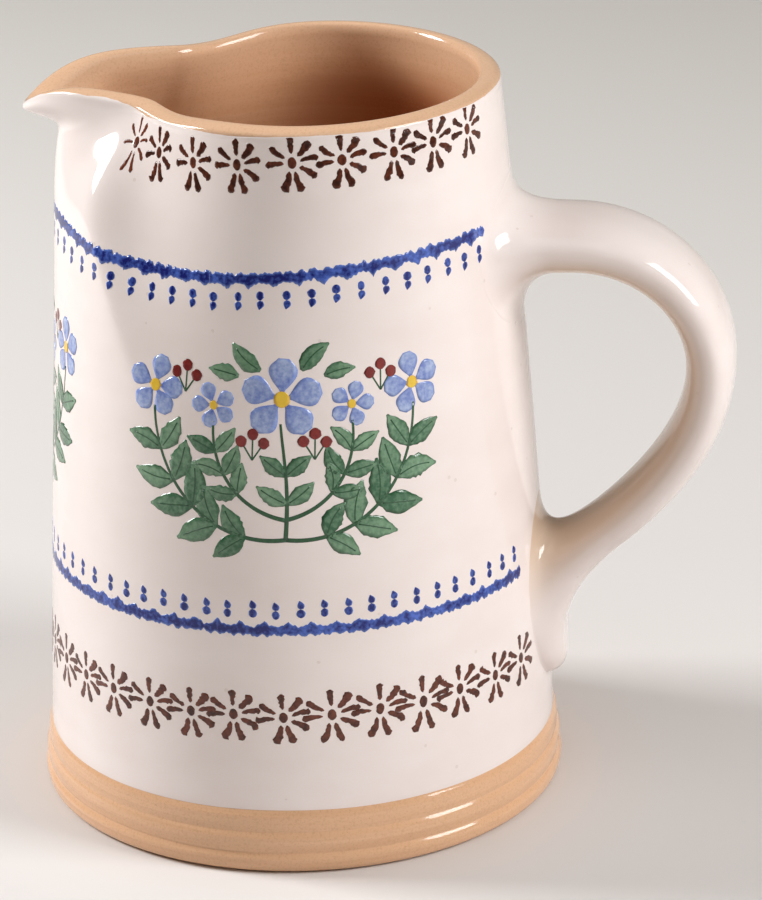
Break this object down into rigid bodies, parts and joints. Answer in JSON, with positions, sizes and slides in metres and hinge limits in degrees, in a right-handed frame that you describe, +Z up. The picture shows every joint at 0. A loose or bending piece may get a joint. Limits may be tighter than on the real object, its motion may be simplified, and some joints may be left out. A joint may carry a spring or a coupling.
{
  "type": "cylinder jug",
  "caption": "Wheel-thrown pottery jug with a tapering cylinder wall, a pulled pouring spout, a bare ridged foot band and a strap handle luted to the wall.",
  "frame": {"origin": "middle of the flat underside, on the axis that the body was thrown about", "axes": "+Z up along the throwing axis, +X to the handle, -X to the spout"},
  "size_m": [0.1793, 0.135, 0.1861],
  "materials": {
    "buff_clay": "clear-glazed buff clay, glossy, with fine throwing lines",
    "white_glaze": "glossy clear glaze over white slip, hand-sponged in brown and blue",
    "luting_slip": "matt fired slip, hidden in the joints"
  },
  "bodies": {
    "root": {"clay_body": "buff_clay", "white_slip_coat": "white_glaze", "handle": "white_glaze", "upper_luting_slip": "luting_slip", "lower_luting_slip": "luting_slip"}
  },
  "joints": []
}
